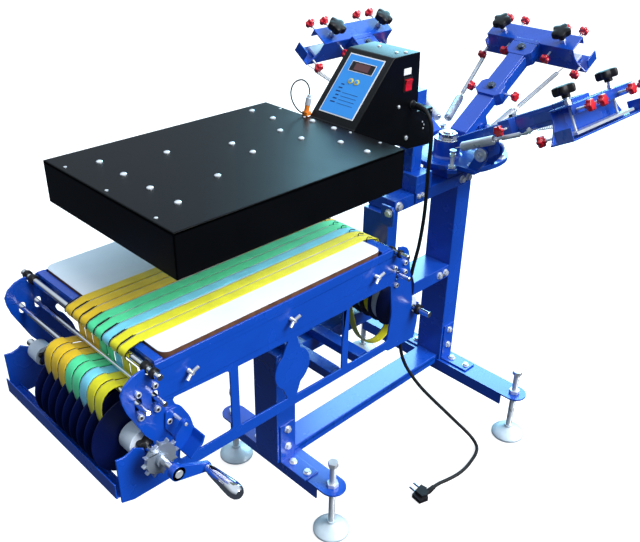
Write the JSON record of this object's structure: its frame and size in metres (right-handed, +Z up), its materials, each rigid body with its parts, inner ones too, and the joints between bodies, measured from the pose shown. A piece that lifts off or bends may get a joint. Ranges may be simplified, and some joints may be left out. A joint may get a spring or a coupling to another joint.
{
  "type": "screen printing carousel",
  "caption": "Floor-standing ribbon screen printer: ribbon pallet with crank unwinder and take-up, flash dryer, and a turntable with sprung tilting print heads.",
  "frame": {"origin": "centre of the bounding box's footprint, without the free mains cord, on the floor under the levelling feet", "axes": "+Z up; +X from the unwinder at the front to the turntable at the rear; +Y to the far side, away from the crank handle"},
  "size_m": [1.515, 0.8162, 1.063],
  "materials": {
    "blue_paint": "gloss powder coat",
    "navy_paint": "satin paint",
    "black_paint": "satin powder coat",
    "zinc": "zinc plated",
    "chrome": "polished",
    "pallet_board": "white laminate on board",
    "black_plastic": "matte",
    "red_plastic": "gloss",
    "panel_film": "printed film",
    "cord_rubber": "matte",
    "ribbon_yellow": "woven",
    "ribbon_sky": "woven",
    "ribbon_green": "woven",
    "ribbon_gold": "woven"
  },
  "bodies": {
    "stand": {"foot_channel_front": "blue_paint", "foot_channel_rear": "blue_paint", "lower_frame": "blue_paint", "mid_beam": "blue_paint", "post_middle": "blue_paint", "upper_beam": "blue_paint", "side_plate_near": "blue_paint", "side_plate_far": "blue_paint", "pallet": "pallet_board", "tray_bar": "blue_paint", "guide_bar_front": "blue_paint", "guide_bar_rear": "blue_paint", "ratchet_bracket": "blue_paint", "ribbon_yellow": "ribbon_yellow", "ribbon_sky": "ribbon_sky", "ribbon_green": "ribbon_green", "ribbon_gold": "ribbon_gold", "dryer_mast": "blue_paint", "base_plate": "blue_paint", "hub_bolt": "chrome", "power_cord": "cord_rubber", "power_plug": "black_plastic"},
    "foot_front_near": {"level_foot_fr": "zinc"},
    "foot_front_far": {"level_foot_fl": "zinc"},
    "foot_rear_near": {"level_foot_rr": "zinc"},
    "foot_rear_far": {"level_foot_rl": "zinc"},
    "unwinder": {"unwind_spool": "navy_paint", "ratchet_wheel": "zinc", "crank_arm": "blue_paint"},
    "crank_grip": {"crank_handle": "chrome"},
    "pawl": {"pawl": "blue_paint"},
    "take_up": {"takeup_spool": "navy_paint"},
    "front_top_roller": {"roller_front_top": "chrome"},
    "front_inner_roller": {"roller_front_inner": "chrome"},
    "front_outer_roller": {"roller_front_outer": "chrome"},
    "rear_top_roller": {"roller_rear_top": "chrome"},
    "rear_low_roller": {"roller_rear_low": "chrome"},
    "dryer": {"dryer_housing": "black_paint", "control_box": "black_paint", "control_panel": "panel_film"},
    "rocker": {"rocker_switch": "red_plastic"},
    "carousel": {"turntable": "blue_paint", "spring_al": "zinc", "spring_ar": "zinc", "spring_bl": "zinc", "spring_br": "zinc", "spring_cl": "zinc", "spring_cr": "zinc"},
    "head_a": {"head_arm_a": "blue_paint", "head_clamp_a": "blue_paint"},
    "knob_a1": {"clamp_knob_a1": "black_plastic"},
    "knob_a2": {"clamp_knob_a2": "black_plastic"},
    "head_b": {"head_arm_b": "blue_paint", "head_clamp_b": "blue_paint"},
    "knob_b1": {"clamp_knob_b1": "black_plastic"},
    "knob_b2": {"clamp_knob_b2": "black_plastic"},
    "head_c": {"head_arm_c": "blue_paint", "head_clamp_c": "blue_paint"},
    "knob_c1": {"clamp_knob_c1": "black_plastic"},
    "knob_c2": {"clamp_knob_c2": "black_plastic"}
  },
  "joints": [
    {"name": "foot_front_near_turn", "type": "hinge", "parent": "stand", "child": "foot_front_near", "pos_m": [-0.2145, -0.1674, 0.02], "axis": [0, 0, 1], "continuous": true},
    {"name": "foot_front_far_turn", "type": "hinge", "parent": "stand", "child": "foot_front_far", "pos_m": [-0.2145, 0.1926, 0.02], "axis": [0, 0, 1], "continuous": true},
    {"name": "foot_rear_near_turn", "type": "hinge", "parent": "stand", "child": "foot_rear_near", "pos_m": [0.3905, -0.2644, 0.02], "axis": [0, 0, 1], "continuous": true},
    {"name": "foot_rear_far_turn", "type": "hinge", "parent": "stand", "child": "foot_rear_far", "pos_m": [0.3905, 0.2896, 0.02], "axis": [0, 0, 1], "continuous": true},
    {"name": "unwinder_spin", "type": "hinge", "parent": "stand", "child": "unwinder", "pos_m": [-0.6825, 0.0126, 0.565], "axis": [0, 1, 0], "continuous": true},
    {"name": "crank_grip_spin", "type": "hinge", "parent": "unwinder", "child": "crank_grip", "pos_m": [-0.628, -0.3174, 0.544], "axis": [0, 1, 0], "continuous": true},
    {"name": "pawl_lift", "type": "hinge", "parent": "stand", "child": "pawl", "pos_m": [-0.631, -0.2214, 0.608], "axis": [0, 1, 0], "range_deg": [0, 40]},
    {"name": "take_up_spin", "type": "hinge", "parent": "stand", "child": "take_up", "pos_m": [0.0085, 0.0126, 0.545], "axis": [0, 1, 0], "continuous": true},
    {"name": "front_top_roller_spin", "type": "hinge", "parent": "stand", "child": "front_top_roller", "pos_m": [-0.6645, 0.0126, 0.715], "axis": [0, 1, 0], "continuous": true},
    {"name": "front_inner_roller_spin", "type": "hinge", "parent": "stand", "child": "front_inner_roller", "pos_m": [-0.6605, 0.0126, 0.66], "axis": [0, 1, 0], "continuous": true},
    {"name": "front_outer_roller_spin", "type": "hinge", "parent": "stand", "child": "front_outer_roller", "pos_m": [-0.692, 0.0126, 0.66], "axis": [0, 1, 0], "continuous": true},
    {"name": "rear_top_roller_spin", "type": "hinge", "parent": "stand", "child": "rear_top_roller", "pos_m": [-0.0695, 0.0126, 0.712], "axis": [0, 1, 0], "continuous": true},
    {"name": "rear_low_roller_spin", "type": "hinge", "parent": "stand", "child": "rear_low_roller", "pos_m": [-0.0575, 0.0126, 0.655], "axis": [0, 1, 0], "continuous": true},
    {"name": "dryer_height", "type": "slide", "parent": "stand", "child": "dryer", "axis": [0, 0, 1], "range_m": [-0.05, 0.05]},
    {"name": "rocker_switch_press", "type": "hinge", "parent": "dryer", "child": "rocker", "pos_m": [0.0995, -0.0514, 1], "axis": [1, 0, 0], "range_deg": [-12, 0]},
    {"name": "carousel_turn", "type": "hinge", "parent": "stand", "child": "carousel", "pos_m": [0.3545, 0.0126, 0.756], "axis": [0, 0, 1], "range_deg": [-45, 30]},
    {"name": "head_a_tilt", "type": "hinge", "parent": "carousel", "child": "head_a", "pos_m": [0.3545, 0.1376, 0.803], "axis": [-1, 0, 0], "range_deg": [0, 35.2], "stiffness_Nm_per_rad": 8, "springref_deg": -126.05, "deforming": ["spring_al", "spring_ar"]},
    {"name": "knob_a1_turn", "type": "hinge", "parent": "head_a", "child": "knob_a1", "pos_m": [0.2655, 0.3237, 1.03708], "axis": [0, -0.5764, 0.8171], "continuous": true},
    {"name": "knob_a2_turn", "type": "hinge", "parent": "head_a", "child": "knob_a2", "pos_m": [0.4435, 0.3237, 1.03708], "axis": [0, -0.5764, 0.8171], "continuous": true},
    {"name": "head_b_tilt", "type": "hinge", "parent": "carousel", "child": "head_b", "pos_m": [0.4795, 0.0126, 0.803], "axis": [0, 1, 0], "range_deg": [0, 33.3], "stiffness_Nm_per_rad": 8, "springref_deg": -126.05, "deforming": ["spring_bl", "spring_br"]},
    {"name": "knob_b1_turn", "type": "hinge", "parent": "head_b", "child": "knob_b1", "pos_m": [0.67326, 0.1016, 1.03078], "axis": [-0.549, 0, 0.8358], "continuous": true},
    {"name": "knob_b2_turn", "type": "hinge", "parent": "head_b", "child": "knob_b2", "pos_m": [0.67326, -0.0764, 1.03078], "axis": [-0.549, 0, 0.8358], "continuous": true},
    {"name": "head_c_tilt", "type": "hinge", "parent": "carousel", "child": "head_c", "pos_m": [0.3545, -0.1124, 0.803], "axis": [1, 0, 0], "range_deg": [0, 28.4], "stiffness_Nm_per_rad": 8, "springref_deg": -126.05, "deforming": ["spring_cl", "spring_cr"]},
    {"name": "knob_c1_turn", "type": "hinge", "parent": "head_c", "child": "knob_c1", "pos_m": [0.4435, -0.32491, 1.01339], "axis": [0, 0.4756, 0.8796], "continuous": true},
    {"name": "knob_c2_turn", "type": "hinge", "parent": "head_c", "child": "knob_c2", "pos_m": [0.2655, -0.32491, 1.01339], "axis": [0, 0.4756, 0.8796], "continuous": true}
  ]
}
